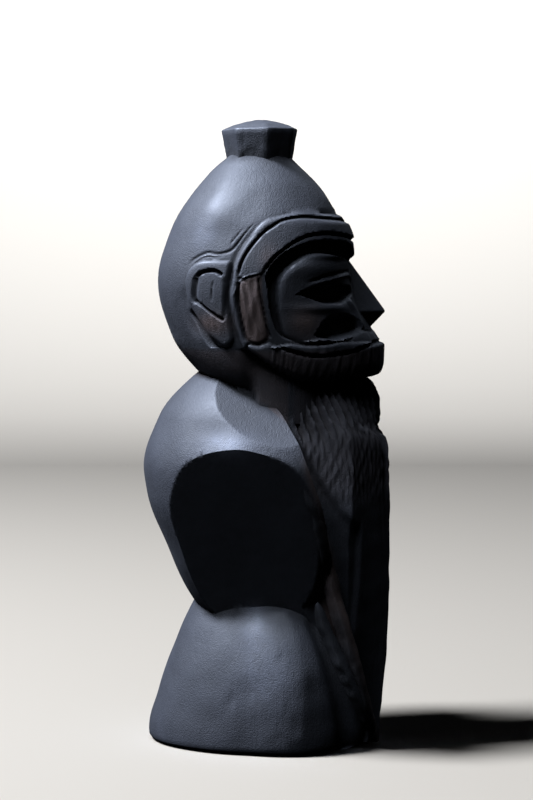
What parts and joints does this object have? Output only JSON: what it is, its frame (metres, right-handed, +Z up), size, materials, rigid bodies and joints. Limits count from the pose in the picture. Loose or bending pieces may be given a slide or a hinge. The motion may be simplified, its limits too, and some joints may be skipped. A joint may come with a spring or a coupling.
{
  "type": "carved wooden figurine",
  "caption": "Hand-carved black-stained wooden bust-like figure of a bearded mythical elder in a smooth cap and wrapped cloak, standing on its flat underside.",
  "frame": {"origin": "middle of the flat underside, where the figure stands", "axes": "+Z up through the knob on the cap; the figure faces -Y, its right side is on -X"},
  "size_m": [0.071, 0.0794, 0.2],
  "materials": {
    "carved_figure": "black-stained close-grained wood with a satin waxed sheen, worn brown on a few raised edges"
  },
  "bodies": {
    "root": {"carved_figure": "carved_figure"}
  },
  "joints": []
}
